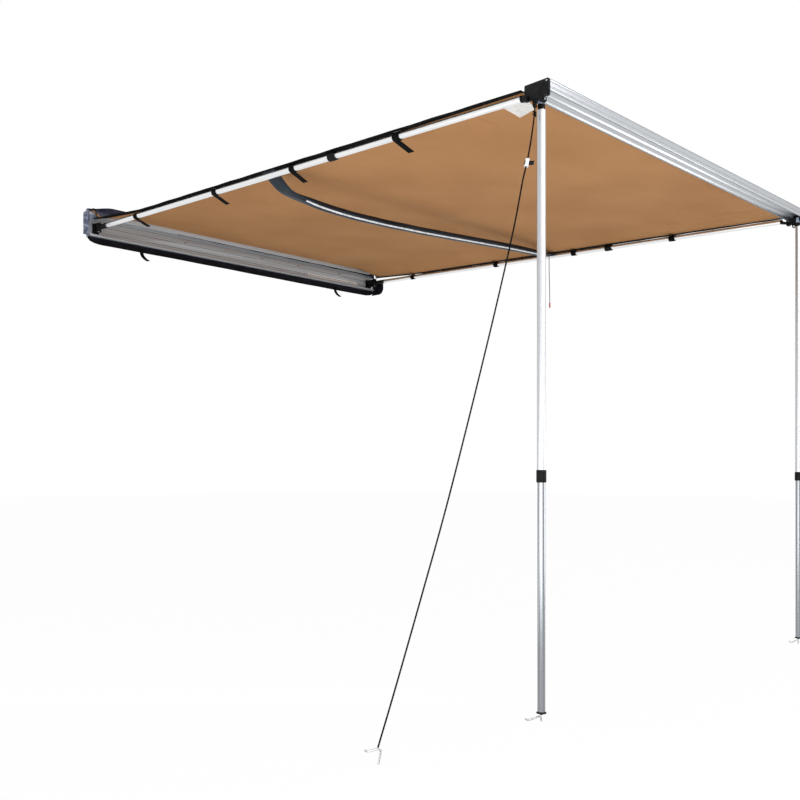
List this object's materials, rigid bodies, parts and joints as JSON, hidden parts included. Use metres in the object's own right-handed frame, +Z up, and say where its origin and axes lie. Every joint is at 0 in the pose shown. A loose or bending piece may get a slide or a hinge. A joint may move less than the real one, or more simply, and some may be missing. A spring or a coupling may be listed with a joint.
{
  "type": "vehicle side awning",
  "caption": "Pull-out side awning with back plate, telescopic arms, front beam on folding telescopic legs, canvas, cover, light sleeve and guy rope.",
  "frame": {"origin": "middle of the back plate's flat rear face", "axes": "+X along the vehicle and the plate, +Y out of the plate's rear face towards the vehicle, +Z up"},
  "size_m": [2.7183, 2.962, 2.3863],
  "materials": {
    "plate_aluminium": "mill aluminium, satin",
    "anodised_aluminium": "clear anodised, bright satin",
    "black_plastic": "black glass-filled nylon",
    "grey_plastic": "grey nylon",
    "steel": "zinc-plated steel",
    "canvas": "coated poly-cotton canvas",
    "binding": "black webbing",
    "cover_pvc": "coated cloth",
    "sleeve_pvc": "coated cloth, navy grey",
    "rope": "braided rope",
    "cable": "cable sheath",
    "red_cap": "red plastic"
  },
  "bodies": {
    "wall_side": {"back_plate": "plate_aluminium", "canvas_rail": "anodised_aluminium", "cover_top_flap": "cover_pvc", "cover_lower_flap": "cover_pvc", "cover_near_end": "cover_pvc", "cover_far_end": "cover_pvc", "canvas": "canvas", "light_sleeve": "sleeve_pvc", "light_cable": "cable", "light_cable_cap": "red_cap", "near_hinge_block": "black_plastic", "near_hinge_pin": "steel", "near_foot_peg": "steel", "near_side_hem": "binding", "near_arm_strap_1": "binding", "near_arm_strap_2": "binding", "near_arm_strap_3": "binding", "near_arm_strap_4": "binding", "far_hinge_block": "black_plastic", "far_hinge_pin": "steel", "far_foot_peg": "steel", "far_side_hem": "binding", "far_arm_strap_1": "binding", "far_arm_strap_2": "binding", "far_arm_strap_3": "binding", "far_arm_strap_4": "binding"},
    "front": {"front_beam": "anodised_aluminium", "guy_rope": "rope", "guy_slider": "grey_plastic", "guy_peg": "steel", "near_beam_bracket": "black_plastic", "near_leg_bolt": "steel", "far_beam_bracket": "black_plastic", "far_leg_bolt": "steel"},
    "near_knuckle": {"near_knuckle": "black_plastic"},
    "near_arm": {"near_arm_root_fitting": "black_plastic", "near_arm_outer_tube": "anodised_aluminium"},
    "near_arm_collar": {"near_arm_collar": "black_plastic"},
    "near_arm_inner": {"near_arm_inner_tube": "anodised_aluminium", "near_arm_tip": "black_plastic"},
    "near_arm_knob": {"near_arm_knob": "black_plastic"},
    "near_leg_catch": {"near_leg_catch": "black_plastic"},
    "near_leg": {"near_leg_head": "grey_plastic", "near_leg_outer_tube": "anodised_aluminium"},
    "near_leg_collar": {"near_leg_collar": "black_plastic"},
    "near_leg_inner": {"near_leg_inner_tube": "anodised_aluminium", "near_foot": "black_plastic"},
    "far_knuckle": {"far_knuckle": "black_plastic"},
    "far_arm": {"far_arm_root_fitting": "black_plastic", "far_arm_outer_tube": "anodised_aluminium"},
    "far_arm_collar": {"far_arm_collar": "black_plastic"},
    "far_arm_inner": {"far_arm_inner_tube": "anodised_aluminium", "far_arm_tip": "black_plastic"},
    "far_arm_knob": {"far_arm_knob": "black_plastic"},
    "far_leg_catch": {"far_leg_catch": "black_plastic"},
    "far_leg": {"far_leg_head": "grey_plastic", "far_leg_outer_tube": "anodised_aluminium"},
    "far_leg_collar": {"far_leg_collar": "black_plastic"},
    "far_leg_inner": {"far_leg_inner_tube": "anodised_aluminium", "far_foot": "black_plastic"}
  },
  "joints": [
    {"name": "beam_slide", "type": "slide", "parent": "wall_side", "child": "front", "axis": [0, 0.999, 0.0455], "range_m": [0, 0.89], "deforming": ["canvas", "light_sleeve", "light_cable", "light_cable_cap", "near_side_hem", "near_arm_strap_1", "near_arm_strap_2", "near_arm_strap_3", "near_arm_strap_4", "far_side_hem", "far_arm_strap_1", "far_arm_strap_2", "far_arm_strap_3", "far_arm_strap_4"]},
    {"name": "near_arm_swing", "type": "hinge", "parent": "wall_side", "child": "near_knuckle", "pos_m": [-0.995, -0.045, -0.0245], "axis": [0, 0, 1], "range_deg": [0, 90]},
    {"name": "near_arm_tilt", "type": "hinge", "parent": "near_knuckle", "child": "near_arm", "pos_m": [-0.995, -0.071, -0.02568], "axis": [-1, 0, 0], "range_deg": [0, 3]},
    {"name": "near_arm_slide", "type": "slide", "parent": "near_arm", "child": "near_arm_inner", "axis": [0, 0.999, 0.0455], "range_m": [0, 0.89]},
    {"name": "near_arm_collar_turn", "type": "hinge", "parent": "near_arm", "child": "near_arm_collar", "pos_m": [-0.995, -1.93796, -0.11069], "axis": [0, -0.999, -0.0455], "range_deg": [0, 90]},
    {"name": "near_arm_knob_turn", "type": "hinge", "parent": "front", "child": "near_arm_knob", "pos_m": [-1.015, -2.87572, -0.1635], "axis": [1, 0, 0], "continuous": true},
    {"name": "near_leg_catch_turn", "type": "hinge", "parent": "front", "child": "near_leg_catch", "pos_m": [-1.014, -2.952, -0.1665], "axis": [1, 0, 0], "continuous": true},
    {"name": "near_leg_fold", "type": "hinge", "parent": "front", "child": "near_leg", "pos_m": [-0.968, -2.905, -0.1615], "axis": [0, -1, 0], "range_deg": [0, 90]},
    {"name": "near_leg_slide", "type": "slide", "parent": "near_leg", "child": "near_leg_inner", "axis": [0, 0, 1], "range_m": [0, 0.7]},
    {"name": "near_leg_collar_turn", "type": "hinge", "parent": "near_leg", "child": "near_leg_collar", "pos_m": [-0.968, -2.905, -1.346], "axis": [0, 0, -1], "range_deg": [0, 90]},
    {"name": "far_arm_swing", "type": "hinge", "parent": "wall_side", "child": "far_knuckle", "pos_m": [0.995, -0.077, -0.02596], "axis": [0, 0, -1], "range_deg": [0, 90]},
    {"name": "far_arm_tilt", "type": "hinge", "parent": "far_knuckle", "child": "far_arm", "pos_m": [0.995, -0.103, -0.02714], "axis": [-1, 0, 0], "range_deg": [0, 3]},
    {"name": "far_arm_slide", "type": "slide", "parent": "far_arm", "child": "far_arm_inner", "axis": [0, 0.999, 0.0455], "range_m": [0, 0.89]},
    {"name": "far_arm_collar_turn", "type": "hinge", "parent": "far_arm", "child": "far_arm_collar", "pos_m": [0.995, -1.91596, -0.10969], "axis": [0, -0.999, -0.0455], "range_deg": [0, 90]},
    {"name": "far_arm_knob_turn", "type": "hinge", "parent": "front", "child": "far_arm_knob", "pos_m": [1.015, -2.87572, -0.1635], "axis": [-1, 0, 0], "continuous": true},
    {"name": "far_leg_catch_turn", "type": "hinge", "parent": "front", "child": "far_leg_catch", "pos_m": [1.014, -2.905, -0.1665], "axis": [-1, 0, 0], "continuous": true},
    {"name": "far_leg_fold", "type": "hinge", "parent": "front", "child": "far_leg", "pos_m": [0.968, -2.939, -0.1615], "axis": [0, 1, 0], "range_deg": [0, 90]},
    {"name": "far_leg_slide", "type": "slide", "parent": "far_leg", "child": "far_leg_inner", "axis": [0, 0, 1], "range_m": [0, 0.7]},
    {"name": "far_leg_collar_turn", "type": "hinge", "parent": "far_leg", "child": "far_leg_collar", "pos_m": [0.968, -2.939, -1.346], "axis": [0, 0, -1], "range_deg": [0, 90]}
  ],
  "couplings": [
    {"joint": "near_arm_slide", "follows": "beam_slide", "ratio": 1},
    {"joint": "far_arm_slide", "follows": "beam_slide", "ratio": 1}
  ]
}
